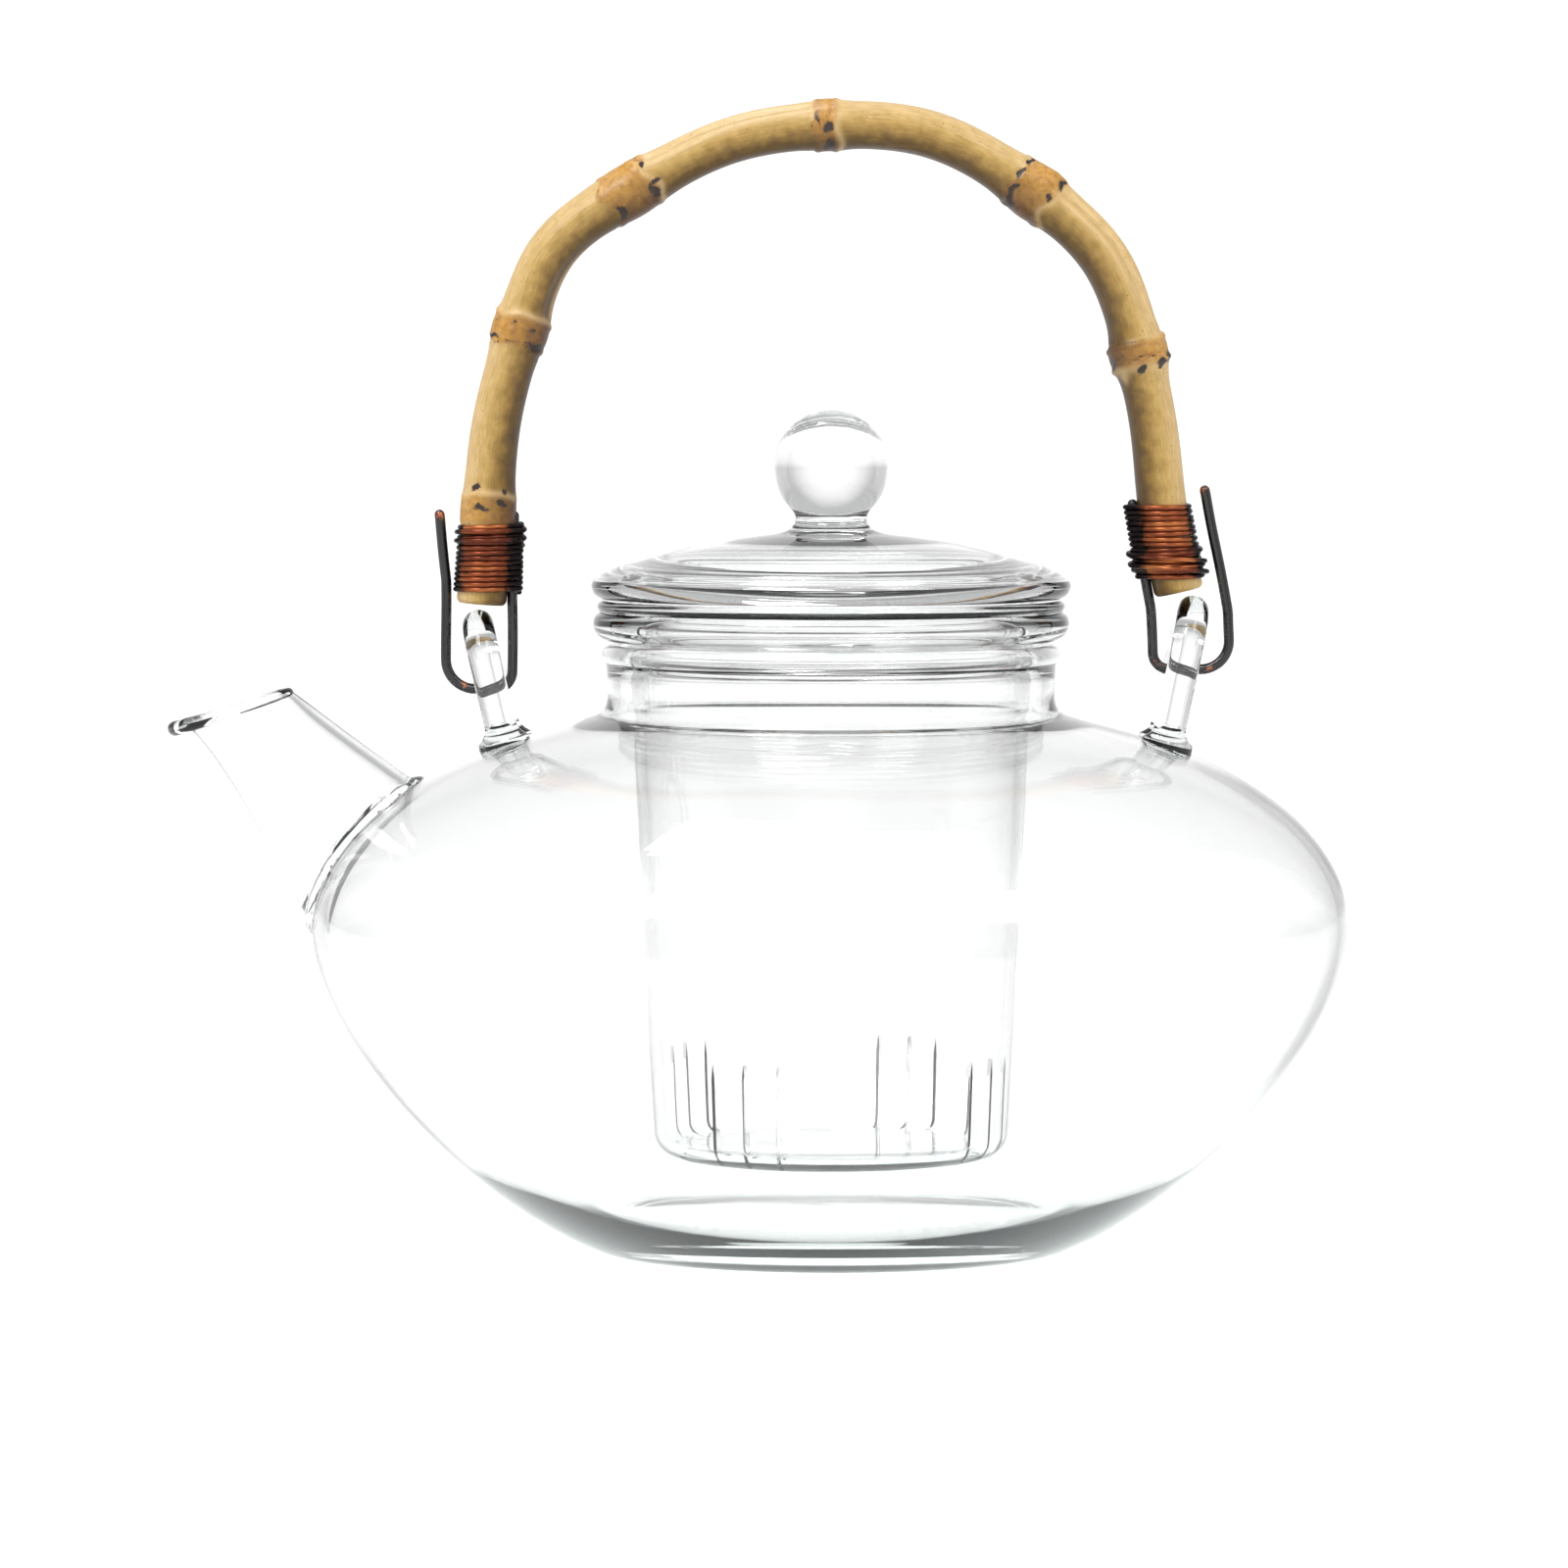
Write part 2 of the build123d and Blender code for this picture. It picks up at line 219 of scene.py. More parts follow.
def skin(name, rings, closed=False, sharp=40):
    """A mesh over rings that have the same number of points, capped at both ends unless closed."""
    verts = [point for ring in rings for point in ring]
    sides = len(rings[0])
    faces = []
    pairs = list(zip(range(len(rings)), range(1, len(rings))))
    if closed:
        pairs.append((len(rings) - 1, 0))
    for low, high in pairs:
        for side in range(sides):
            after = (side + 1) % sides
            faces.append((low * sides + side, low * sides + after, high * sides + after, high * sides + side))
    if not closed:
        faces.append(tuple(reversed(range(sides))))
        faces.append(tuple(range((len(rings) - 1) * sides, len(rings) * sides)))
    return new_object(name, verts, faces, sharp)


def tube_rings(path, radius, sides=20, closed=False, round_ends=False):
    """Circles along a path that don't twist; the radius is a number or one for each point."""
    line = [Vector(point) for point in path]
    radii = radius if isinstance(radius, list) else [radius] * len(line)
    if round_ends:
        line, radii = with_round_ends(line, radii)
    rings = []
    across = None
    for i, centre in enumerate(line):
        before = line[i - 1] if i or closed else line[0]
        after = line[(i + 1) % len(line)] if i + 1 < len(line) or closed else line[-1]
        along = (after - before).normalized()
        if across is None:
            helper = Vector((0, 1, 0)) if abs(along.y) < 0.9 else Vector((0, 0, 1))
            across = along.cross(helper).normalized()
        across = (across - along * across.dot(along)).normalized()
        other = along.cross(across)
        ring = []
        for side in range(sides):
            angle = math.tau * side / sides
            ring.append(centre + radii[i] * (math.cos(angle) * across + math.sin(angle) * other))
        rings.append(ring)
    return rings


def with_round_ends(line, radii, steps=5):
    """The path carried on at both ends with shrinking radii, so that a tube ends in a half ball."""
    out_first = (line[0] - line[1]).normalized()
    out_last = (line[-1] - line[-2]).normalized()
    first, last = [], []
    for step in range(1, steps + 1):
        angle = math.radians(88 * step / steps)
        size = math.cos(angle)
        reach = math.sin(angle)
        first.append((line[0] + out_first * radii[0] * reach, radii[0] * size))
        last.append((line[-1] + out_last * radii[-1] * reach, radii[-1] * size))
    first.reverse()
    whole = first + list(zip(line, radii)) + last
    return [point for point, _ in whole], [size for _, size in whole]


def combine(obj, other, operation):
    """Applies a boolean with another object and removes that object."""
    modifier = obj.modifiers.new("join", "BOOLEAN")
    modifier.operation = operation
    modifier.solver = "MANIFOLD"
    modifier.object = other
    graph = bpy.context.evaluated_depsgraph_get()
    mesh = bpy.data.meshes.new_from_object(obj.evaluated_get(graph))
    obj.modifiers.clear()
    old = obj.data
    obj.data = mesh
    bpy.data.meshes.remove(old)
    bpy.data.objects.remove(other)
    return obj


def finish_piece(obj, body, replaced, material):
    """Gives a piece its material, ties it to its body and hides the CAD nodes it stands in for."""
    obj.data.materials.clear()
    obj.data.materials.append(material)
    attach(obj, body)
    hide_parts(*replaced)


# ---------------------------------------------------------------- materials

def node_adder(tree):
    """A function that adds a shader node to the tree, sets it and links its inputs."""

    def add(kind, settings=None, **inputs):
        node = tree.nodes.new("ShaderNode" + kind)
        for key, value in (settings or {}).items():
            setattr(node, key, value)
        for key, value in inputs.items():
            socket = node.inputs[int(key[1:])] if key[1:].isdigit() else node.inputs[key.replace("_", " ")]
            if isinstance(value, bpy.types.NodeSocket):
                tree.links.new(value, socket)
            else:
                socket.default_value = value
        return node

    return add


def new_material(name):
    """A node material with only its output, and the function that adds nodes to it."""
    material = bpy.data.materials.new(name)
    material.use_nodes = True
    tree = material.node_tree
    tree.nodes.clear()
    output = tree.nodes.new("ShaderNodeOutputMaterial")
    return material, node_adder(tree), output, tree


def ramp(add, fac, stops):
    """A colour ramp of (place, colour) stops."""
    node = add("ValToRGB", Fac=fac)
    elements = node.color_ramp.elements
    while len(elements) < len(stops):
        elements.new(0.5)
    for element, (place, colour) in zip(elements, stops):
        element.position = place
        element.color = (*colour, 1)
    return node.outputs["Color"]


def glass_material(name, tint, density, ripple_size, ripple_depth):
    """Clear blown glass: a tint that shows where it is deep, faint ripples and light shadows."""
    material, add, output, tree = new_material(name)
    place = add("TexCoord").outputs["Object"]
    slow = add("TexNoise", Vector=place, Scale=ripple_size, Detail=1.0)
    drawn_place = add("Mapping", Vector=place, Scale=(60, 60, 320))
    drawn = add("TexNoise", Vector=drawn_place.outputs["Vector"], Scale=1.0, Detail=2.0)
    first = add("Bump", Height=slow.outputs["Fac"], Strength=1.0, Distance=ripple_depth)
    second = add(
        "Bump",
        Height=drawn.outputs["Fac"],
        Strength=1.0,
        Distance=ripple_depth * 0.012,
        Normal=first.outputs["Normal"],
    )
    glass = add(
        "BsdfPrincipled",
        Base_Color=(1, 1, 1, 1),
        Roughness=0.0,
        IOR=1.47,
        Transmission_Weight=1.0,
        Normal=second.outputs["Normal"],
    )
    clear = add("BsdfTransparent", Color=(0.93, 0.95, 0.945, 1))
    rays = add("LightPath")
    mixed = add(
        "MixShader",
        _0=rays.outputs["Is Shadow Ray"],
        _1=glass.outputs["BSDF"],
        _2=clear.outputs["BSDF"],
    )
    depth = add("VolumeAbsorption", Color=(*tint, 1), Density=density)
    tree.links.new(mixed.outputs["Shader"], output.inputs["Surface"])
    tree.links.new(depth.outputs["Volume"], output.inputs["Volume"])
    return material


def bamboo_material():
    """Varnished cane: pale cream crest and dark olive underside, partly the cane's own tone and partly a
    painted highlight and painted shade; golden olive flanks, warm swellings and dark scars.
    """
    material, add, output, tree = new_material("bamboo")
    side = add("Attribute", {"attribute_name": "side"}).outputs["Fac"]
    warm = add("Attribute", {"attribute_name": "warm"}).outputs["Fac"]
    scar = add("Attribute", {"attribute_name": "scar"}).outputs["Fac"]
    pale = add("Attribute", {"attribute_name": "pale"}).outputs["Fac"]
    lengthwise = add("Attribute", {"attribute_name": "lengthwise"}).outputs["Vector"]
    fibres_place = add("Mapping", Vector=lengthwise, Scale=(14.0, 14.0, 0.35))
    fibres = add("TexNoise", Vector=fibres_place.outputs["Vector"], Scale=1.0, Detail=4.0, Roughness=0.6)
    blotch_place = add("Mapping", Vector=lengthwise, Scale=(2.2, 2.2, 0.5))
    blotches = add("TexNoise", Vector=blotch_place.outputs["Vector"], Scale=1.0, Detail=3.0)
    break_place = add("Mapping", Vector=lengthwise, Scale=(4.5, 4.5, 1.1))
    breaks = add("TexNoise", Vector=break_place.outputs["Vector"], Scale=1.0, Detail=5.0, Roughness=0.6)
    speck_place = add("Mapping", Vector=lengthwise, Scale=(9.0, 9.0, 3.0))
    specks = add("TexNoise", Vector=speck_place.outputs["Vector"], Scale=1.0, Detail=2.0)

    # The body colour follows the side attribute: cream on the crest and dark olive on the underside, partly
    # the cane's own tone and partly a painted highlight above and painted shade beneath; the blotches make it
    # wander.
    wander = add("Math", {"operation": "MULTIPLY_ADD"}, _0=blotches.outputs["Fac"], _1=0.8, _2=-0.4)
    height = add("Math", {"operation": "ADD"}, _0=side, _1=wander.outputs["Value"])
    height = add("MapRange", Value=height.outputs["Value"], **{"_1": -1.1, "_2": 1.1})
    body = ramp(add, height.outputs["Result"], [
        (0.04, (0.060, 0.028, 0.002)),
        (0.22, (0.115, 0.060, 0.004)),
        (0.40, (0.270, 0.155, 0.022)),
        (0.60, (0.460, 0.300, 0.085)),
        (0.92, (0.640, 0.455, 0.215)),
    ])
    fibre_tone = ramp(add, fibres.outputs["Fac"], [(0.32, (0.72, 0.66, 0.54)), (0.62, (1.06, 1.04, 1.0))])
    body = add("MixRGB", {"blend_type": "MULTIPLY"}, Fac=0.7, Color1=body, Color2=fibre_tone)
    # The node patches follow the same side ramp, so they carry the same painted highlight on the crest and
    # painted shade underneath.
    patch_tone = ramp(add, height.outputs["Result"], [
        (0.10, (0.10, 0.040, 0.004)),
        (0.45, (0.31, 0.150, 0.016)),
        (0.85, (0.52, 0.275, 0.050)),
    ])
    patch_mark = ramp(add, breaks.outputs["Fac"], [(0.36, (0.62, 0.50, 0.40)), (0.58, (1.05, 1.02, 1.0))])
    patch = add("MixRGB", {"blend_type": "MULTIPLY"}, Fac=0.8, Color1=patch_tone, Color2=patch_mark)
    warmed = add("MixRGB", Fac=warm, Color1=body.outputs["Color"], Color2=patch.outputs["Color"])
    paled = add("MixRGB", Fac=pale, Color1=warmed.outputs["Color"], Color2=(0.66, 0.46, 0.22, 1))
    speck_mask = ramp(add, specks.outputs["Fac"], [(0.68, (0, 0, 0)), (0.75, (1, 1, 1))])
    specked = add("MixRGB", Fac=speck_mask, Color1=paled.outputs["Color"], Color2=(0.16, 0.075, 0.02, 1))
    break_up = add("Math", {"operation": "MULTIPLY_ADD"}, _0=breaks.outputs["Fac"], _1=1.2, _2=-0.56)
    scar_edge = add("Math", {"operation": "ADD"}, _0=scar, _1=break_up.outputs["Value"])
    scar_mask = ramp(add, scar_edge.outputs["Value"], [(0.36, (0, 0, 0)), (0.60, (1, 1, 1))])
    scarred = add("Math", {"operation": "GREATER_THAN"}, _0=scar, _1=0.04)
    kept = add(
        "MixRGB",
        {"blend_type": "MULTIPLY"},
        Fac=1.0,
        Color1=scar_mask,
        Color2=scarred.outputs["Value"],
    )
    scar_mask = kept.outputs["Color"]
    colour = add("MixRGB", Fac=scar_mask, Color1=specked.outputs["Color"], Color2=(0.022, 0.010, 0.006, 1))

    bump = add("Bump", Height=fibres.outputs["Fac"], Strength=0.35, Distance=0.00012)
    bump = add("Bump", Height=scar_mask, Strength=-0.6, Distance=0.0003, Normal=bump.outputs["Normal"])
    gloss = add("MapRange", Value=blotches.outputs["Fac"], **{"_3": 0.34, "_4": 0.50})
    cane = add(
        "BsdfPrincipled",
        Base_Color=colour.outputs["Color"],
        Roughness=gloss.outputs["Result"],
        Coat_Weight=0.10,
        Coat_Roughness=0.16,
        Normal=bump.outputs["Normal"],
    )
    tree.links.new(cane.outputs["BSDF"], output.inputs["Surface"])
    return material


def lacquer_material(name, dark, copper, share, grain):
    """Black lacquer on copper wire, showing the metal in streaks where it wears and in spots placed as
    painted glints; share is how much of it shows the metal.
    """
    material, add, output, tree = new_material(name)
    place = add("TexCoord").outputs["Object"]
    # Copper shows where the wire wears and at the hook's tip and bends, where the copper spots are painted
    # glints.
    worn = add("Attribute", {"attribute_name": "worn"}).outputs["Fac"]
    patches = add("TexNoise", Vector=place, Scale=grain, Detail=4.0, Roughness=0.65)
    lifted = add("Math", {"operation": "MULTIPLY_ADD"}, _0=worn, _1=0.55, _2=patches.outputs["Fac"])
    mask = ramp(add, lifted.outputs["Value"], [(1 - share, (0, 0, 0)), (min(1.0, 1.16 - share), (1, 1, 1))])
    tone = ramp(add, patches.outputs["Fac"], [(0.3, dark), (0.7, tuple(2.2 * c for c in dark))])
    colour = add("MixRGB", Fac=mask, Color1=tone, Color2=(*copper, 1))
    metal = add("MapRange", Value=mask, **{"_3": 0.0, "_4": 0.85})
    gloss = add("MapRange", Value=patches.outputs["Fac"], **{"_3": 0.18, "_4": 0.36})
    bump = add("Bump", Height=patches.outputs["Fac"], Strength=0.4, Distance=0.00008)
    wire = add(
        "BsdfPrincipled",
        Base_Color=colour.outputs["Color"],
        Metallic=metal.outputs["Result"],
        Roughness=gloss.outputs["Result"],
        Coat_Weight=0.25,
        Coat_Roughness=0.08,
        Normal=bump.outputs["Normal"],
    )
    tree.links.new(wire.outputs["BSDF"], output.inputs["Surface"])
    return material


def enamel_material():
    """Fine copper wire under near-black enamel, showing the copper at the front and back as a painted
    highlight, broken up a little by wear; the sides stay black.
    """
    material, add, output, tree = new_material("binding_wire")
    place = add("TexCoord").outputs["Object"]
    turns_place = add("Mapping", Vector=place, Scale=(60, 60, 700))
    turns = add("TexNoise", Vector=turns_place.outputs["Vector"], Scale=1.0, Detail=2.0)
    wear = add("TexNoise", Vector=place, Scale=900.0, Detail=3.0)
    # This attribute puts copper on the front and back faces as a painted highlight; the wear noise only
    # breaks up its edge.
    front_back_highlight = add("Attribute", {"attribute_name": "worn"}).outputs["Fac"]
    tone = ramp(add, turns.outputs["Fac"], [
        (0.36, (0.13, 0.030, 0.014)),
        (0.52, (0.26, 0.066, 0.024)),
        (0.68, (0.48, 0.165, 0.052)),
    ])
    edge = add("Math", {"operation": "MULTIPLY_ADD"}, _0=wear.outputs["Fac"], _1=0.5, _2=front_back_highlight)
    wear_and_highlight_mask = ramp(add, edge.outputs["Value"], [(0.80, (0, 0, 0)), (1.20, (1, 1, 1))])
    colour = add("MixRGB", Fac=wear_and_highlight_mask, Color1=(0.012, 0.006, 0.006, 1), Color2=tone)
    gloss = add("MapRange", Value=wear.outputs["Fac"], **{"_3": 0.20, "_4": 0.42})
    bump = add("Bump", Height=wear.outputs["Fac"], Strength=0.3, Distance=0.00005)
    wire = add(
        "BsdfPrincipled",
        Base_Color=colour.outputs["Color"],
        Metallic=0.80,
        Roughness=gloss.outputs["Result"],
        Normal=bump.outputs["Normal"],
    )
    tree.links.new(wire.outputs["BSDF"], output.inputs["Surface"])
    return material


def floor_material():
    """Matt white with a barely visible grain, lit from beneath where it is far from the pot."""
    material, add, output, tree = new_material("floor")
    place = add("TexCoord").outputs["Object"]
    grain = add("TexNoise", Vector=place, Scale=300.0, Detail=2.0)
    tone = ramp(add, grain.outputs["Fac"], [(0.3, (0.90, 0.90, 0.90)), (0.7, (0.92, 0.92, 0.92))])
    heading = add("VectorMath", {"operation": "NORMALIZE"}, _0=place).outputs["Vector"]
    spread = add("VectorMath", {"operation": "ABSOLUTE"}, _0=heading).outputs["Vector"]
    parts = add("SeparateXYZ", Vector=spread)
    nearest = add("Math", {"operation": "MAXIMUM"}, _0=parts.outputs["X"], _1=parts.outputs["Y"])
    beams = add(
        "MapRange",
        Value=nearest.outputs["Value"],
        **{"_1": BEAM_START, "_2": BEAM_FULL, "_3": 0.20, "_4": 0.62},
    )
    reach = add("VectorMath", {"operation": "LENGTH"}, _0=place).outputs["Value"]
    glow = add("MapRange", Value=reach, **{"_1": 0.35, "_2": 1.4, "_3": 0.04, "_4": beams.outputs["Result"]})
    paper = add(
        "BsdfPrincipled",
        Base_Color=tone,
        Roughness=0.9,
        Emission_Color=(1, 1, 1, 1),
        Emission_Strength=glow.outputs["Result"],
    )
    tree.links.new(paper.outputs["BSDF"], output.inputs["Surface"])
    return material


# ---------------------------------------------------------------- the fused glass pot

PUNT_HEIGHT = 4.5
FOOT_INNER = 37.0
BOWL_OUTLINE = [
    (42.0, 0.0), (50.8, 4.9), (61.5, 12.6), (76.8, 27.8), (86.5, 43.1), (90.0, 57.0),
    (85.6, 69.0), (75.0, 79.0), (60.0, 86.7), (45.0, 91.2),
]
NECK_RADIUS = 38.9
NECK_WALL = 2.2
RIM_BEAD = 1.9
EAR_ROD = 2.8
EAR_LOOP = 6.4
LEFT_EAR_FOOT = -55.3
RIGHT_EAR_FOOT = 57.0
SPOUT_WALL = 1.8
# Spout rings from inside the bowl to the curled lip: top point, bottom point and half width
SPOUT_TOPS = [(-64.0, 74.0), (-71.3, 80.2), (-80.0, 86.6), (-87.5, 92.2), (-91.6, 95.3), (-93.3, 96.5)]
SPOUT_BOTTOMS = [(-82.0, 50.0), (-90.8, 57.5), (-96.8, 68.0), (-103.2, 79.4), (-110.8, 89.7), (-114.6, 89.9)]
SPOUT_HALF_WIDTHS = [13.0, 12.2, 10.4, 8.8, 7.8, 7.5]
SPOUT_RING_COUNT = 81


def foot_roll():
    """The foot ring's rounded sole, from the punt's edge round to the bowl."""
    return [(FOOT_INNER - 1.2, 0.55), (FOOT_INNER, 0.12), (FOOT_INNER + 1.4, 0.0), (40.6, 0.0)]


def bowl_side():
    """The bowl's outer line from the foot to the neck's root."""
    return smooth([(41.6, 0.12), *BOWL_OUTLINE[1:]], 1.6, start=(1, 0.42), end=(-1, 0.26))


def pot_outline():
    """The whole closed outline: punt, foot, bowl, neck, bead, then down the inside to the floor."""
    rim_centre = (NECK_RADIUS + 0.9 - RIM_BEAD, RIM_TOP - RIM_BEAD)
    punt = smooth([(0, PUNT_HEIGHT), (22.0, 2.9), (35.8, 0.55)], 1.6, start=(1, 0))
    side = bowl_side()
    neck_outer = smooth([(42.4, 92.0), (39.8, 93.1), (NECK_RADIUS, 95.0), (NECK_RADIUS, 99.0)], 0.4,
                        start=(-1, 0.3), end=(0, 1))
    bead = arc(rim_centre, RIM_BEAD, -50, 230, 20)
    neck_inner = NECK_RADIUS - NECK_WALL
    inside_neck = smooth([(neck_inner, 99.0), (neck_inner, 94.4), (38.2, 91.2), (42.4, 89.8)], 0.4,
                         start=(0, -1), end=(1, -0.25))

    def wall(height):
        """The wall is thickest at the foot."""
        return WALL + 1.6 * max(0.0, 1 - height / 16) ** 2

    inner_side = [p for p in inset(side, wall) if p[0] < 89 and p[1] > 4.4 or p[1] > 20]
    inner_side = [p for p in reversed(inner_side) if p[0] > 44.0]
    floor = smooth([(43.2, 4.75), (38.0, 4.2), (22.0, 5.6), (0, 6.9)], 1.6, start=(-1, -0.5), end=(-1, 0))
    return punt[:-1] + foot_roll() + side + neck_outer + bead + inside_neck + inner_side + floor


def distances_outside(points, outline):
    """How far each point stands outside a turned outline, negative inside."""
    line = np.array(outline, float)
    along = np.gradient(line, axis=0)
    outward = np.stack([along[:, 1], -along[:, 0]], axis=1)
    outward /= np.linalg.norm(outward, axis=1)[:, None]
    flat = np.array([(math.hypot(p[0], p[1]), p[2]) for p in points])
    apart = flat[:, None, :] - line[None, :, :]
    nearest = np.argmin((apart ** 2).sum(axis=2), axis=1)
    return (apart[np.arange(len(flat)), nearest] * outward[nearest]).sum(axis=1)


def fillet_growth(distance, size):
    """How much a rod grows this far above the surface it is fused to, for a fillet of a size."""
    left = size - min(max(distance, 0.04 * size), size)
    return size - math.sqrt(size * size - left * left)


def even_curve(knots, count):
    """A smooth curve through the knots as a number of points with the same share between knots."""
    steps = (count - 1) // (len(knots) - 1)
    line = np.array(knots, float)
    shares = np.linspace(0, 1, len(knots))
    fine = []
    for axis in range(line.shape[1]):
        knots_here = [(share * 100, value) for share, value in zip(shares, line[:, axis])]
        track = smooth(knots_here, 100 / steps / 20)
        track = np.array(track)
        fine.append(np.interp(np.linspace(0, 100, count), track[:, 0], track[:, 1]))
    return list(zip(*fine))


def spout_rings(wall, fillet, past_mouth=0.0, sides=72):
    """Oval rings from inside the bowl to the mouth, set in by a wall and flared onto the bowl."""
    tops = even_curve(SPOUT_TOPS, SPOUT_RING_COUNT)
    bottoms = even_curve(SPOUT_BOTTOMS, SPOUT_RING_COUNT)
    width_knots = [(width,) for width in SPOUT_HALF_WIDTHS]
    half_widths = [width for (width,) in even_curve(width_knots, SPOUT_RING_COUNT)]
    side_line = bowl_side()
    rings = []
    for (top, bottom, half_width) in zip(tops, bottoms, half_widths):
        high = Vector((top[0], 0, top[1]))
        low = Vector((bottom[0], 0, bottom[1]))
        centre = (high + low) / 2
        up = (high - low).normalized()
        half_height = (high - low).length / 2 - wall
        ring = []
        for step in range(sides):
            angle = math.tau * step / sides
            out = half_height * math.cos(angle) * up + Vector((0, (half_width - wall) * math.sin(angle), 0))
            ring.append(centre + out)
        if fillet:
            for i, gap in enumerate(distances_outside(ring, side_line)):
                out = (ring[i] - centre).normalized()
                ring[i] = ring[i] + out * fillet_growth(gap, fillet)
        rings.append(ring)
    if past_mouth:
        across = Vector((tops[-1][0] - bottoms[-1][0], 0, tops[-1][1] - bottoms[-1][1])).normalized()
        outward = Vector((-across.z, 0, across.x))
        rings.append([point + outward * past_mouth for point in rings[-1]])
    return rings


def ear_rings(node, lean_foot, side_line):
    """A leaning rod loop in a plane along Y whose feet flare onto the shoulder."""
    low, high = box_mm(node)
    outward = 1 if lean_foot > 0 else -1
    top = Vector((high.x if outward > 0 else low.x, 0, high.z))
    top.x -= outward * EAR_ROD
    foot = Vector((lean_foot, 0, 83.0))
    up = (top - foot).normalized()
    rise = (top - foot).length - EAR_ROD * 0.95 - EAR_LOOP
    path = []
    for step in range(24):
        path.append(foot + up * rise * step / 24 + Vector((0, -EAR_LOOP, 0)))
    for step in range(33):
        angle = math.pi * step / 32
        sideways = Vector((0, -EAR_LOOP * math.cos(angle), 0))
        path.append(foot + up * (rise + EAR_LOOP * math.sin(angle)) + sideways)
    for step in range(23, -1, -1):
        path.append(foot + up * rise * step / 24 + Vector((0, EAR_LOOP, 0)))
    gaps = distances_outside(path, side_line)
    radii = [EAR_ROD + fillet_growth(gap - EAR_ROD * 0.3, 2.4) for gap in gaps]
    return tube_rings(path, radii, sides=40)


def make_pot():
    """Bowl, neck, spout and ears as one piece of glass, open through the neck and the spout."""
    side = bowl_side()
    pot = lathe("pot_glass", pot_outline())
    parts = [skin("spout_root", spout_rings(0.0, 2.2))]
    parts.append(skin("ear_one", ear_rings("left_ear", LEFT_EAR_FOOT, side)))
    parts.append(skin("ear_two", ear_rings("right_ear", RIGHT_EAR_FOOT, side)))
    middle = inset(side, WALL / 2)
    block = [(0, 2.0), (40.0, 2.0), *[p for p in middle if p[0] > 44], (36.0, 91.0), (0, 91.0)]
    for part in parts:
        combine(part, lathe("hollow", block, sides=128), "DIFFERENCE")
        combine(pot, part, "UNION")
    combine(pot, skin("bore", spout_rings(SPOUT_WALL, 1.0, past_mouth=3.0)), "DIFFERENCE")
    mouth = spout_rings(SPOUT_WALL / 2, 0)[-1]
    tip = min(point.z for point in mouth)
    heft = [1.05 + 0.30 * max(0.0, 1 - (point.z - tip) / 3) for point in mouth]
    combine(pot, skin("mouth_bead", tube_rings(mouth, heft, sides=24, closed=True), closed=True), "UNION")
    shade(pot)
    return pot


# ---------------------------------------------------------------- infuser and lid

SLIT_GROUPS = 4
SLITS_IN_GROUP = 3
SLIT_PITCH = 11.5
FIRST_GROUP = -118.7
SLIT_HALF_WIDTH = 0.34
SLIT_TOP = 34.0


def cup_outline():
    """Floor, tapered wall and rolled lip, then down the inside."""
    top_radius = 34.8
    bottom_radius = 30.8
    wall = 1.8
    floor = CUP_BOTTOM
    bend = 4.0
    taper = top_radius - bottom_radius
    wall_foot = floor + bend
    lip_root = 102.4
    inner_top = 108.6
    corner = arc((bottom_radius - bend, wall_foot), bend, -90, 0, 10)
    wall_up = [(bottom_radius + taper * t / 20, wall_foot + (lip_root - wall_foot) * t / 20)
               for t in range(1, 20)]
    lip = smooth([
        (top_radius, lip_root), (35.3, 104.2), (37.2, 105.2), (39.6, 105.7), (41.0, 107.0), (41.3, 108.6),
        (40.9, 109.8), (40.2, 110.4),
    ], 0.35, start=(0.05, 1))
    step = smooth([(40.2, 110.4), (40.5, 110.9), (40.55, 111.6), (39.9, LIP_TOP - 0.05), (38.6, LIP_TOP),
                   (35.5, LIP_TOP - 0.3), (33.7, 111.0), (top_radius - wall, inner_top)], 0.35, end=(0, -1))
    inner = [(top_radius - wall - taper * t / 20, inner_top - (inner_top - wall_foot) * t / 20)
             for t in range(1, 20)]
    inner_corner = arc((bottom_radius - bend, wall_foot), bend - wall, 0, -90, 8)
    under = [(r, floor) for r in (0.0, 8.0, 17.0)]
    over = [(r, floor + wall) for r in (17.0, 8.0, 0.0)]
    return under + corner + wall_up + lip[:-1] + step + inner + inner_corner + over


def slit_rings(angle):
    """A thin blade with a pointed top that cuts the wall and the floor's edge."""
    spin = math.radians(angle)
    low = CUP_BOTTOM - 2
    shoulder = SLIT_TOP - 2.6
    outline = [(-1, low), (1, low), (1, shoulder), (0, SLIT_TOP), (-1, shoulder)]
    rings = []
    for radius in (26.5, 35.5):
        ring = []
        for across, height in outline:
            y = across * SLIT_HALF_WIDTH
            x_turned = radius * math.cos(spin) - y * math.sin(spin)
            y_turned = radius * math.sin(spin) + y * math.cos(spin)
            ring.append((x_turned, y_turned, height))
        rings.append(ring)
    return rings


def make_infuser():
    """The cup with four groups of three slits."""
    cup = lathe("infuser_glass", cup_outline())
    for group in range(SLIT_GROUPS):
        for slit in range(SLITS_IN_GROUP):
            angle = FIRST_GROUP + group * 360 / SLIT_GROUPS + (slit - 1) * SLIT_PITCH
            combine(cup, skin("blade", slit_rings(angle)), "DIFFERENCE")
    shade(cup)
    return cup


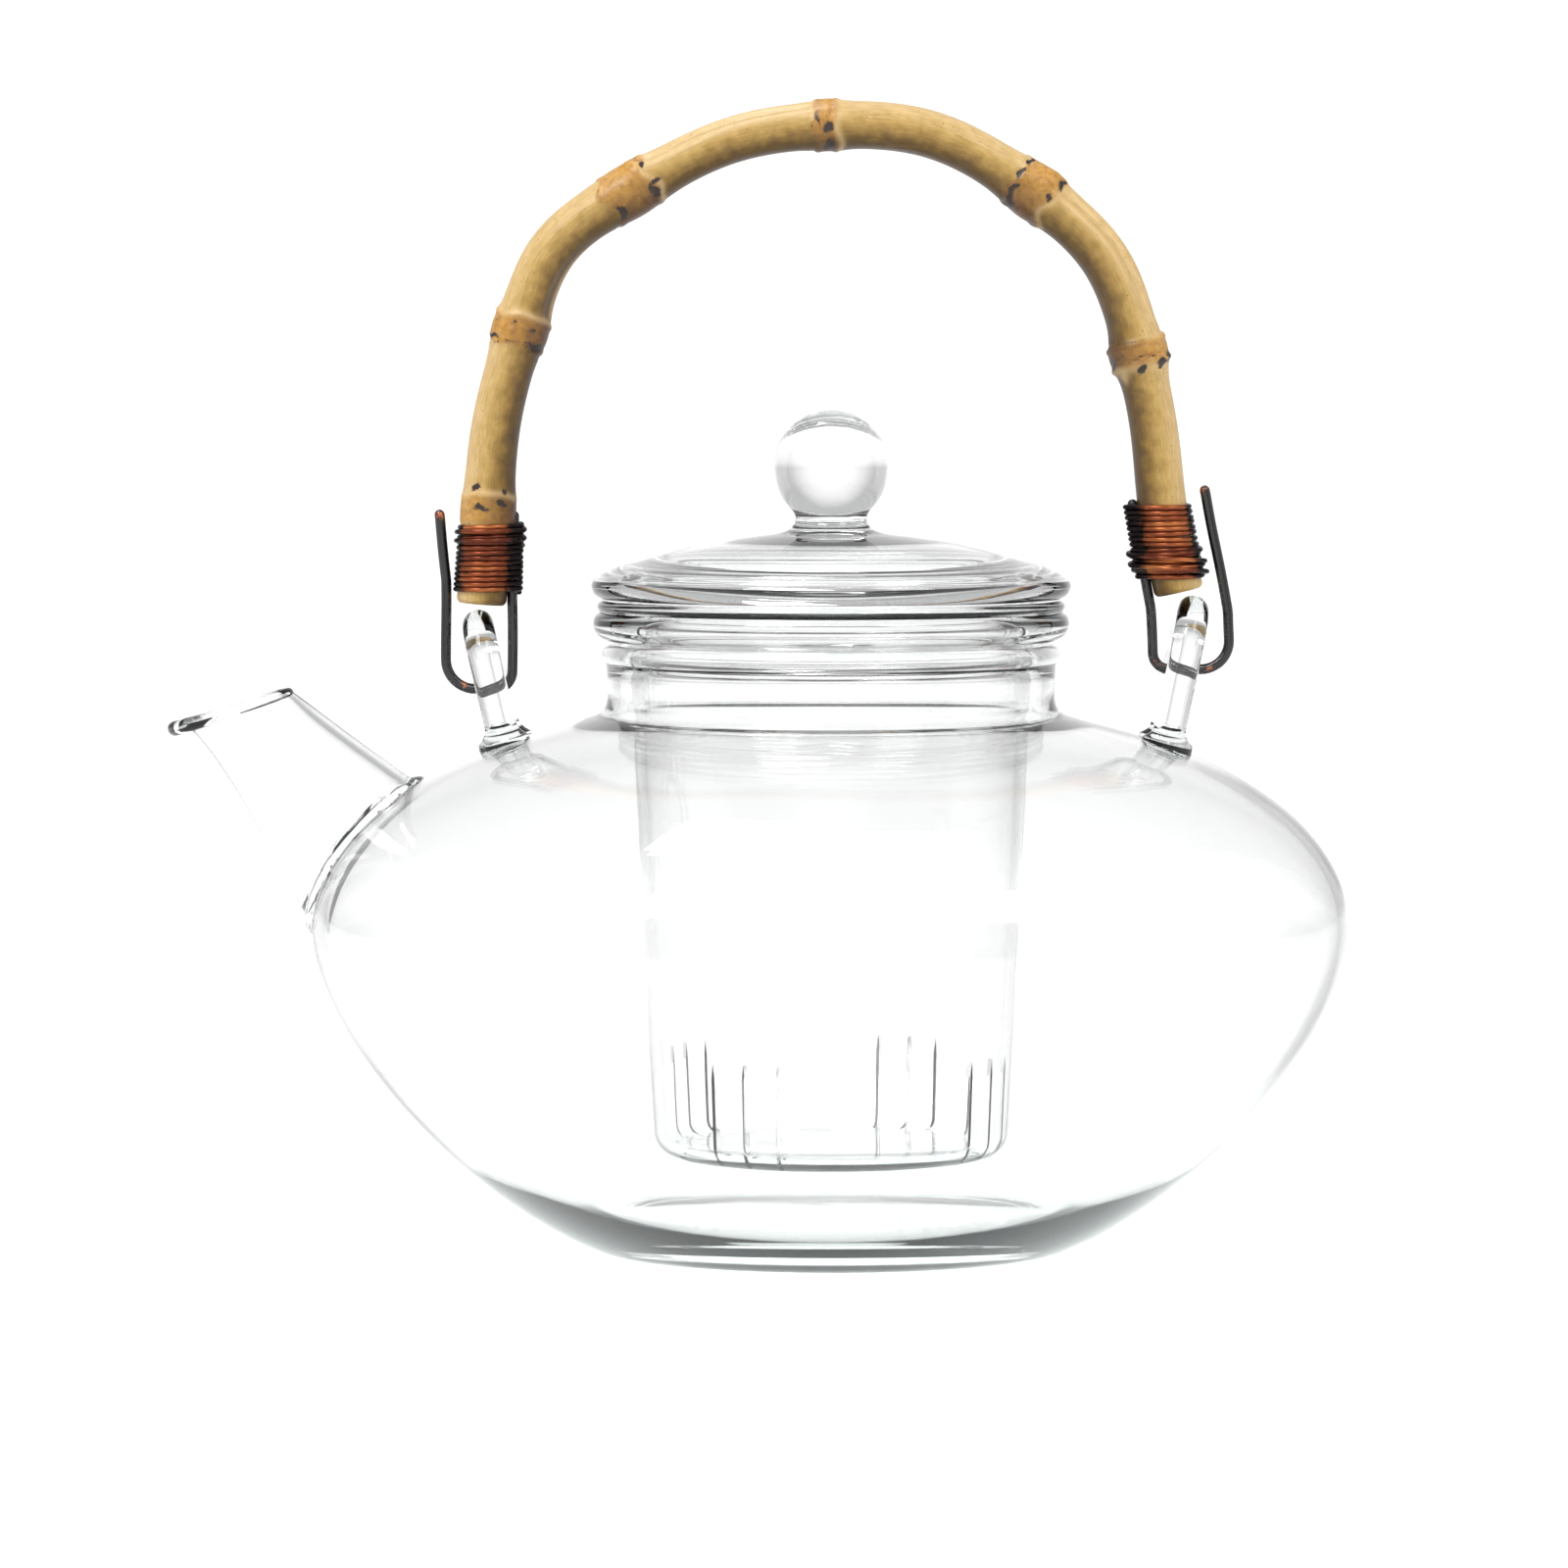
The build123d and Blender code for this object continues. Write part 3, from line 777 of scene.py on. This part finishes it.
def lid_outline():
    """Knob, stem, dome and thick rim, then under the rim, round the skirt and up to the axis."""
    ball_radius = 10.0
    ball = (0, KNOB_TOP - ball_radius)
    knob = arc(ball, ball_radius, 90, -42, 36)
    knob[0] = (0, KNOB_TOP)
    stem = smooth([knob[-1], (6.2, 126.6), (7.0, 124.9), (8.6, 124.15), (11.5, 123.7), (17.0, 122.95),
                   (24.5, 121.6), (30.4, 120.0), (34.2, 118.95), (37.1, 118.2), (39.0, 117.3)], 0.5,
                  start=(-0.72, -0.69), end=(1, -0.45))
    bead = arc((LID_RADIUS - 2.1, LID_BOTTOM + 2.1), 2.1, 72, -150, 20)
    under_rim = smooth([bead[-1], (36.6, 115.3), (34.9, 116.3), (33.3, 116.4), (SKIRT_RADIUS, 114.9)], 0.35,
                       end=(0, -1))
    skirt_inner = SKIRT_RADIUS - 1.8
    skirt_down = [(SKIRT_RADIUS, z) for z in np.arange(114.0, SKIRT_BOTTOM + 1.0, -1.0)]
    skirt_end = arc((SKIRT_RADIUS - 0.9, SKIRT_BOTTOM + 0.9), 0.9, 0, -180, 10)
    skirt_up = [(skirt_inner, z) for z in np.arange(SKIRT_BOTTOM + 2.0, 114.6, 1.0)]
    under = smooth([(skirt_inner, 115.0), (29.4, 117.0), (26.6, 118.6), (15.6, 121.0), (0, 121.9)], 0.8,
                   start=(0, 1), end=(-1, 0))
    return knob[:-1] + stem[:-1] + bead + under_rim[1:] + skirt_down + skirt_end + skirt_up + under


# ---------------------------------------------------------------- bamboo handle

CANE_LINE = [
    (-60.6, 111.7), (-59.3, 129.0), (-58.0, 142.5), (-53.8, 159.0), (-48.2, 172.8), (-34.7, 183.1),
    (-17.5, 191.7), (-0.8, 194.4), (17.5, 192.8), (34.8, 183.1), (47.3, 171.3), (53.2, 155.0),
    (56.0, 141.0), (57.3, 129.0), (60.3, 113.8),
]
CANE_SIDES = 64
CANE_RADIUS = 4.15
# Each node: where it is in X and Z, its radius, half its length, its ridge's height and its border's wander
CANE_NODES = [
    ((-58.9, 128.2), 4.7, 2.2, 0.10, 0.5),
    ((-53.8, 159.0), 5.15, 2.3, 0.30, 0.5),
    ((-34.7, 183.1), 5.0, 4.0, 0.22, 1.0),
    ((-0.8, 194.4), 4.8, 1.7, 0.24, 0.5),
    ((34.8, 183.1), 5.15, 3.3, 0.26, 1.1),
    ((53.2, 155.0), 5.55, 1.9, 0.50, 0.4),
]
# Marks beside a node, in mm along and degrees from the crest (the front is at -90):
# node, place along, angle, length, width, darkness, warmth, rise
CANE_MARKS = [
    (0, 1.2, -120, 0.7, 16, 0.9, 0.0, -0.15), (0, 0.2, -75, 0.6, 26, 0.9, 0.0, -0.15),
    (0, 3.8, -60, 0.8, 12, 0.9, 0.0, -0.10), (0, 3.4, -128, 0.7, 10, 0.6, 0.3, 0.0),
    (1, 0.8, -32, 1.2, 17, 0.40, 0.9, -0.25), (1, 0.9, -74, 1.2, 17, 0.44, 0.9, -0.25),
    (1, 0.3, -118, 1.0, 16, 0.52, 0.9, -0.25), (1, -2.0, -25, 0.5, 28, 0.95, 0.0, -0.25),
    (1, -2.2, -80, 0.35, 30, 0.50, 0.4, -0.15), (1, -2.0, -140, 0.7, 32, 1.0, 0.0, -0.30),
    (2, 2.6, -38, 1.5, 24, 0.0, 0.9, 0.75), (2, 4.0, -52, 0.45, 18, 0.75, 0.0, -0.15),
    (2, 3.4, -14, 0.7, 9, 0.6, 0.3, 0.0), (2, -3.0, -128, 0.8, 26, 1.0, 0.0, -0.35),
    (2, 3.6, -122, 0.9, 22, 1.0, 0.0, -0.35), (2, 4.6, -100, 1.3, 7, 0.8, 0.0, -0.15),
    (3, 0.1, -95, 1.1, 14, 0.9, 0.3, -0.20), (3, 0.4, -150, 1.2, 30, 1.0, 0.0, -0.25),
    (3, 0.0, -30, 1.0, 34, 0.1, 0.9, 0.15), (3, -1.4, -70, 0.4, 30, 0.7, 0.0, -0.10),
    (4, -3.2, -30, 0.5, 24, 1.0, 0.0, -0.35), (4, -3.5, -75, 0.45, 26, 1.0, 0.0, -0.35),
    (4, -3.0, -120, 0.55, 28, 1.0, 0.0, -0.35), (4, -2.0, -155, 1.0, 22, 1.0, 0.0, -0.20),
    (4, 1.6, -35, 1.7, 26, 0.0, 0.8, 0.80), (4, 3.4, -38, 0.6, 22, 0.95, 0.0, -0.20),
    (4, 2.9, -82, 0.7, 12, 0.9, 0.0, -0.15), (4, -0.4, -140, 1.1, 20, 0.4, 0.2, 0.20),
    (5, 0.5, -80, 0.4, 60, 0.55, 0.6, -0.15), (5, 2.6, -92, 0.7, 13, 1.0, 0.0, -0.20),
    (5, 2.3, -48, 0.9, 14, 1.0, 0.0, -0.20), (5, 1.4, -10, 1.4, 22, 1.0, 0.0, -0.10),
    (5, 0.9, -160, 1.3, 16, 0.9, 0.0, -0.15), (5, 3.2, -138, 1.2, 14, -0.6, -0.4, 0.15),
]
# Channels that run on from a bud: node, first and last place along, angle, depth
CANE_CHANNELS = [(2, 4.0, 40.0, -34, 0.45), (4, 4.0, 34.0, -46, 0.45), (1, 3.0, 24.0, -150, 0.30),
                 (3, 2.0, 34.0, 150, 0.30), (0, 4.0, 26.0, 40, 0.35), (5, 3.0, 36.0, 60, 0.35)]


def angle_gap(angles, centre):
    """How far angles in degrees are from a centre angle, the short way round."""
    return np.abs((angles - centre + 180) % 360 - 180)


def hump(values):
    """A smooth bump that is 1 at 0 and fades to nothing by about 2."""
    return np.exp(-values * values)


def make_bamboo():
    """The bent cane: tapering internodes, patched and ridged nodes, buds, channels and scars."""
    line = [Vector((x, 0, z)) for x, z in smooth(CANE_LINE, 0.42)]
    steps = [(after - before).length for before, after in zip(line, line[1:])]
    along = np.concatenate([[0.0], np.cumsum(steps)])[:, None]
    angles = np.linspace(0, 360, CANE_SIDES, endpoint=False)[None, :]
    turn = np.radians(angles)
    length = along[-1, 0]
    stations = []
    for (x, z), *_ in CANE_NODES:
        nearest = min(range(len(line)), key=lambda i: (line[i] - Vector((x, 0, z))).length)
        stations.append(along[nearest, 0])

    share = np.abs(along / length - 0.5) * 2
    radius = 4.0 + 0.32 * share + 0.08 * np.sin(along * 0.12) + 0 * angles
    radius = radius + 0.06 * np.sin(2 * turn + along * 0.05)
    warm = np.zeros_like(radius)
    scar = np.zeros_like(radius)
    pale = np.zeros_like(radius)
    for number, ((_, size, half, ridge, wander), station) in enumerate(zip(CANE_NODES, stations)):
        gap = along - station
        border = wander * (0.6 * np.sin(3 * turn + number) + 0.4 * np.sin(5 * turn + 2.3 * number))
        radius = radius + (size - CANE_RADIUS - ridge * 0.6) * hump(gap / (half + 1.6))
        radius = radius + ridge * hump((gap - half - border) / 0.55)
        radius = radius + ridge * 0.8 * hump((gap + half - border) / 0.55)
        radius = radius - 0.14 * hump((gap + half - border + 0.8) / 0.4)
        inside = np.clip((half + 0.3 - np.abs(gap - border)) / 0.6 + 0.5, 0, 1)
        warm = np.maximum(warm, 0.85 * inside)
        pale = np.maximum(pale, 0.5 * hump((gap - half - border - 0.5) / 0.6))
        scar = np.maximum(scar, 0.36 * hump((gap + half - border + 0.3) / 0.35))
    for number, offset, centre, long, wide, dark, warmth, rise in CANE_MARKS:
        zigzag = 0.25 * np.sin(np.radians(angles) * 9 + number)
        lengthways = hump((along - stations[number] - offset - zigzag) / long)
        spot = lengthways * hump(angle_gap(angles, centre) / wide)
        scar = np.maximum(scar, dark * spot) if dark >= 0 else scar + dark * spot
        warm = np.clip(warm + warmth * spot, 0, 1)
        pale = pale + max(0, -dark) * spot
        radius = radius + rise * spot
    for number, first, last, centre, depth in CANE_CHANNELS:
        gap = along - stations[number]
        fade = np.clip((gap - first + 2) / 3, 0, 1) * np.clip((last - gap) / 14, 0, 1)
        trough = fade * hump(angle_gap(angles, centre) / 13)
        shoulders = fade * hump((angle_gap(angles, centre) - 26) / 10)
        radius = radius - depth * trough + 0.12 * shoulders
        pale = np.maximum(pale, 0.55 * fade * hump(angle_gap(angles, centre - 20) / 10))
    end_gap = np.minimum(along, length - along)
    radius = radius - 0.5 * np.clip(1 - end_gap / 0.8, 0, 1) ** 2

    rings = []
    places = []
    for i, centre in enumerate(line):
        tangent = (line[min(i + 1, len(line) - 1)] - line[max(i - 1, 0)]).normalized()
        crest = Vector((-tangent.z, 0, tangent.x))
        ring = []
        for side in range(CANE_SIDES):
            across = math.cos(turn[0, side])
            ahead = math.sin(turn[0, side])
            ring.append(centre + (across * crest + Vector((0, ahead, 0))) * radius[i, side])
            places.append((across, ahead, along[i, 0]))
        rings.append(ring)
    cane = skin("bamboo_cane", rings, sharp=70)
    # The side attribute is 1 at the crest and -1 at the underside; the material paints a highlight on the
    # crest and shade underneath from it.
    crest_light_values = np.broadcast_to(np.cos(turn), radius.shape)
    store_values(cane, "side", crest_light_values.ravel())
    store_values(cane, "warm", warm.ravel())
    store_values(cane, "scar", np.clip(scar, 0, 1).ravel())
    store_values(cane, "pale", np.clip(pale, 0, 1).ravel())
    layer = cane.data.attributes.new("lengthwise", "FLOAT_VECTOR", "POINT")
    layer.data.foreach_set("vector", [c for place in places for c in place])
    return cane


def store_values(obj, name, numbers):
    """Stores a number for each vertex, which keep the order they were made in, for the material."""
    layer = obj.data.attributes.new(name, "FLOAT", "POINT")
    layer.data.foreach_set("value", numbers)


# ---------------------------------------------------------------- wires

WIRE_RADIUS = 0.9
LEFT_HOOK = [(-54.9, 127.0), (-55.2, 112.0), (-55.2, 97.0), (-66.7, 97.0), (-66.7, 116.0), (-67.8, 127.2)]
RIGHT_HOOK = [(52.2, 129.0), (55.4, 111.0), (55.9, 100.4), (69.2, 100.4), (68.8, 110.5), (64.7, 131.4)]
HOOK_BENDS = [12.0, 3.0, 5.0, 12.0]
BINDING_WIRE = 0.46
BINDING_CORE = 4.2
CROSSING_TURNS = 2


def make_hook(name, points):
    """A bent wire with rounded ends; its tip and its lowest bends show the copper, partly as wear and partly
    as painted glints.
    """
    corners = [(x, 0, z) for x, z in points]
    path = rounded_path(corners, HOOK_BENDS)
    dense = []
    for before, after in zip(path, path[1:]):
        steps = max(1, round((after - before).length / 0.6))
        for step in range(steps):
            share = step / steps
            wobble = Vector((0.05 * math.sin(len(dense) * 0.21), 0.07 * math.sin(len(dense) * 0.13 + 1), 0))
            dense.append(before.lerp(after, share) + wobble)
    dense.append(path[-1])
    hook = skin(name, tube_rings(dense, WIRE_RADIUS, sides=24, round_ends=True), sharp=60)
    low = min(z for _, z in points)
    tip = Vector((points[-1][0], 0, points[-1][1])) * MM
    numbers = []
    # Copper at the tip and along the lowest bends: partly wear, partly painted glints.
    for vertex in hook.data.vertices:
        at_tip = 0.62 * math.exp(-((vertex.co - tip).length / (1.2 * MM)) ** 2)
        at_bend = 0.12 * math.exp(-((vertex.co.z / MM - low) / 1.2) ** 2)
        numbers.append(max(at_tip, at_bend))
    store_values(hook, "worn", numbers)
    return hook


def oval_point(angle, height, cane_x, leg_x, lift):
    """A point on the string line round the cane and the hook's leg at a height."""
    out = Vector((math.cos(angle), math.sin(angle), 0))
    choices = []
    for x, radius in ((cane_x, BINDING_CORE), (leg_x, WIRE_RADIUS)):
        choices.append(Vector((x, 0, height)) + out * (radius + BINDING_WIRE + lift))
    return max(choices, key=lambda point: point.dot(out))


def binding_path(hook, cane_end, turns, lift, start, end, seed):
    """A wire wound round the cane and the hook's leg between two heights."""
    draw = random.Random(seed)
    tilt = [draw.uniform(-0.10, 0.10) for _ in range(turns + 2)]
    (leg_top_x, leg_top_z), (leg_x, leg_z) = hook[0], hook[1]
    (end_x, end_z), (up_x, up_z) = cane_end
    path = []
    steps = turns * 40
    for step in range(steps + 1):
        share = step / steps
        turn = share * turns
        height = start + (end - start) * share
        height += 0.16 * math.sin(math.tau * turn + tilt[int(turn)] * 9) + tilt[int(turn)] * 0.6
        cane_x = end_x + (up_x - end_x) * (height - end_z) / (up_z - end_z)
        leg = leg_x + (leg_top_x - leg_x) * (height - leg_z) / (leg_top_z - leg_z)
        path.append(oval_point(math.tau * turn + 0.6, height, cane_x, leg, lift))
    return path


def make_binding(name, node, hook, cane_end, seed, crossings):
    """The wound wire with a few loose turns crossing over it."""
    low, high = box_mm(node)
    start = low.z + BINDING_WIRE
    end = high.z - BINDING_WIRE
    turns = round((end - start) / (2 * BINDING_WIRE * 0.98))
    path = binding_path(hook, cane_end, turns, 0.0, start, end, seed)
    wire = skin(name, tube_rings(path, BINDING_WIRE, sides=12, round_ends=True), sharp=80)
    for number, (first, last, lift) in enumerate(crossings):
        path = binding_path(hook, cane_end, CROSSING_TURNS, lift, first, last, seed + number + 1)
        over = skin("over", tube_rings(path, BINDING_WIRE, sides=12, round_ends=True), sharp=80)
        join_meshes(wire, over)
    # Copper shows on the faces toward the front and back while the sides stay black: a painted highlight, not
    # wear.
    middle = (low.x + high.x) / 2
    numbers = []
    for vertex in wire.data.vertices:
        ahead = Vector((vertex.co.x / MM - middle, vertex.co.y / MM))
        numbers.append(abs(ahead.y) / ahead.length)
    store_values(wire, "worn", numbers)
    return wire


def join_meshes(obj, other):
    """Adds another object's mesh to an object and removes the other."""
    work = bmesh.new()
    work.from_mesh(obj.data)
    work.from_mesh(other.data)
    work.to_mesh(obj.data)
    work.free()
    bpy.data.objects.remove(other)
    obj.data.polygons.foreach_set("use_smooth", [True] * len(obj.data.polygons))


# ---------------------------------------------------------------- stage

FLOOR_RADIUS = 6.0
FLOOR_GAP = 0.0003
CAMERA_PLACE = (-0.00815, -1.392, 0.1605)
CAMERA_TILT = 86.71
CAMERA_LENS = 184.5
CAMERA_SENSOR = 36
# The surround and the floor are brightest within a cone about each axis, between these cosines
BEAM_START = 0.86
BEAM_FULL = 0.985


def make_stage():
    """A round white floor that reaches to the horizon."""
    rim = [(*point, 0) for point in arc((0, 0), FLOOR_RADIUS, 0, 360, 64)[:-1]]
    floor = flat_piece("floor", rim, [tuple(range(64))])
    floor.location.z = cad_low.z - FLOOR_GAP
    floor.data.materials.append(floor_material())


def flat_piece(name, verts, faces):
    """A stage surface from vertices in metres."""
    mesh = bpy.data.meshes.new(name)
    mesh.from_pydata(verts, [], faces)
    mesh.polygons.foreach_set("use_smooth", [True] * len(faces))
    obj = bpy.data.objects.new(name, mesh)
    bpy.context.scene.collection.objects.link(obj)
    return obj


def add_light(name, place, target, size, power, tone=(1, 1, 1)):
    """A soft rectangular light aimed at a point."""
    data = bpy.data.lights.new(name, "AREA")
    data.shape = "RECTANGLE"
    data.size, data.size_y = size
    data.energy = power
    data.color = tone
    light = bpy.data.objects.new(name, data)
    light.location = place
    light.rotation_euler = (Vector(target) - Vector(place)).to_track_quat("-Z", "Y").to_euler()
    bpy.context.scene.collection.objects.link(light)
    return light


def make_world():
    """A surround that is bright to the front, back and sides near the horizon and grey between and above."""
    world = bpy.data.worlds.new("surround")
    world.use_nodes = True
    tree = world.node_tree
    add = node_adder(tree)
    parts = add("SeparateXYZ", Vector=add("TexCoord").outputs["Generated"])
    across = add("Math", {"operation": "ABSOLUTE"}, _0=parts.outputs["X"])
    ahead = add("Math", {"operation": "ABSOLUTE"}, _0=parts.outputs["Y"])
    nearest = add("Math", {"operation": "MAXIMUM"}, _0=across.outputs["Value"], _1=ahead.outputs["Value"])
    beams = ramp(add, nearest.outputs["Value"], [(BEAM_START, (0, 0, 0)), (BEAM_FULL, (1, 1, 1))])
    ceiling = ramp(add, parts.outputs["Z"], [
        (0.0, (0.64, 0.64, 0.64)),
        (0.30, (0.56, 0.56, 0.565)),
        (0.75, (0.50, 0.505, 0.51)),
    ])
    glow = add("MixRGB", Fac=beams, Color1=ceiling, Color2=(1.12, 1.12, 1.12, 1)).outputs["Color"]
    background = tree.nodes["Background"]
    tree.links.new(glow, background.inputs["Color"])
    bpy.context.scene.world = world


def make_lights():
    """Soft boxes in front at both sides, and a smaller square one above."""
    add_light("key_box", (-0.9, -1.3, 1.7), (0, 0, 0.05), (0.9, 0.9), 26)
    add_light("fill_box", (1.1, -1.2, 1.5), (0, 0, 0.05), (0.8, 0.8), 12)
    add_light("top_box", (-0.3, 0.2, 1.6), (0, 0, 0), (0.5, 0.5), 7)


def make_camera():
    """The photograph's view: low, from the front, with a long lens."""
    data = bpy.data.cameras.new("camera")
    data.lens = CAMERA_LENS
    data.sensor_width = CAMERA_SENSOR
    camera = bpy.data.objects.new("camera", data)
    camera.location = CAMERA_PLACE
    camera.rotation_euler = (math.radians(CAMERA_TILT), 0, 0)
    bpy.context.scene.collection.objects.link(camera)
    bpy.context.scene.camera = camera


# ---------------------------------------------------------------- the whole scene

make_stage()
make_world()
make_lights()
make_camera()
bpy.context.scene.view_settings.view_transform = "Standard"

pot_glass = glass_material("pot_glass", (0.30, 0.38, 0.36), 9.0, 22, 0.0003)
infuser_glass = glass_material("infuser_glass", (0.30, 0.36, 0.35), 7.0, 40, 0.0001)
lid_glass = glass_material("lid_glass", (0.34, 0.36, 0.31), 5.0, 40, 0.00008)
bamboo = bamboo_material()
lacquer = lacquer_material("lacquered_wire", (0.004, 0.003, 0.003), (0.70, 0.22, 0.10), 0.34, 420)
binding = enamel_material()

pot = make_pot()
finish_piece(pot, "pot", ["pot_body", "pot_neck", "spout", "left_ear", "right_ear"], pot_glass)
infuser = make_infuser()
finish_piece(infuser, "infuser", ["infuser_cup"], infuser_glass)
lid = lathe("lid_glass", lid_outline())
finish_piece(lid, "lid", ["lid_dome", "lid_skirt", "lid_knob"], lid_glass)
cane = make_bamboo()
finish_piece(cane, "handle", ["bamboo_handle"], bamboo)
for side, hook_points in (("left", LEFT_HOOK), ("right", RIGHT_HOOK)):
    hook = make_hook(side + "_hook", hook_points)
    finish_piece(hook, "handle", [side + "_hook_wire"], lacquer)
left_binding = make_binding(
    "left_binding", "left_binding_wire", LEFT_HOOK, CANE_LINE[:2], 3,
    [(122.0, 125.0, 0.5)],
)
finish_piece(left_binding, "handle", ["left_binding_wire"], binding)
right_binding = make_binding(
    "right_binding", "right_binding_wire", RIGHT_HOOK, [CANE_LINE[-1], CANE_LINE[-2]], 5,
    [(116.6, 121.5, 0.5), (121.0, 117.4, 0.9)],
)
finish_piece(right_binding, "handle", ["right_binding_wire"], binding)
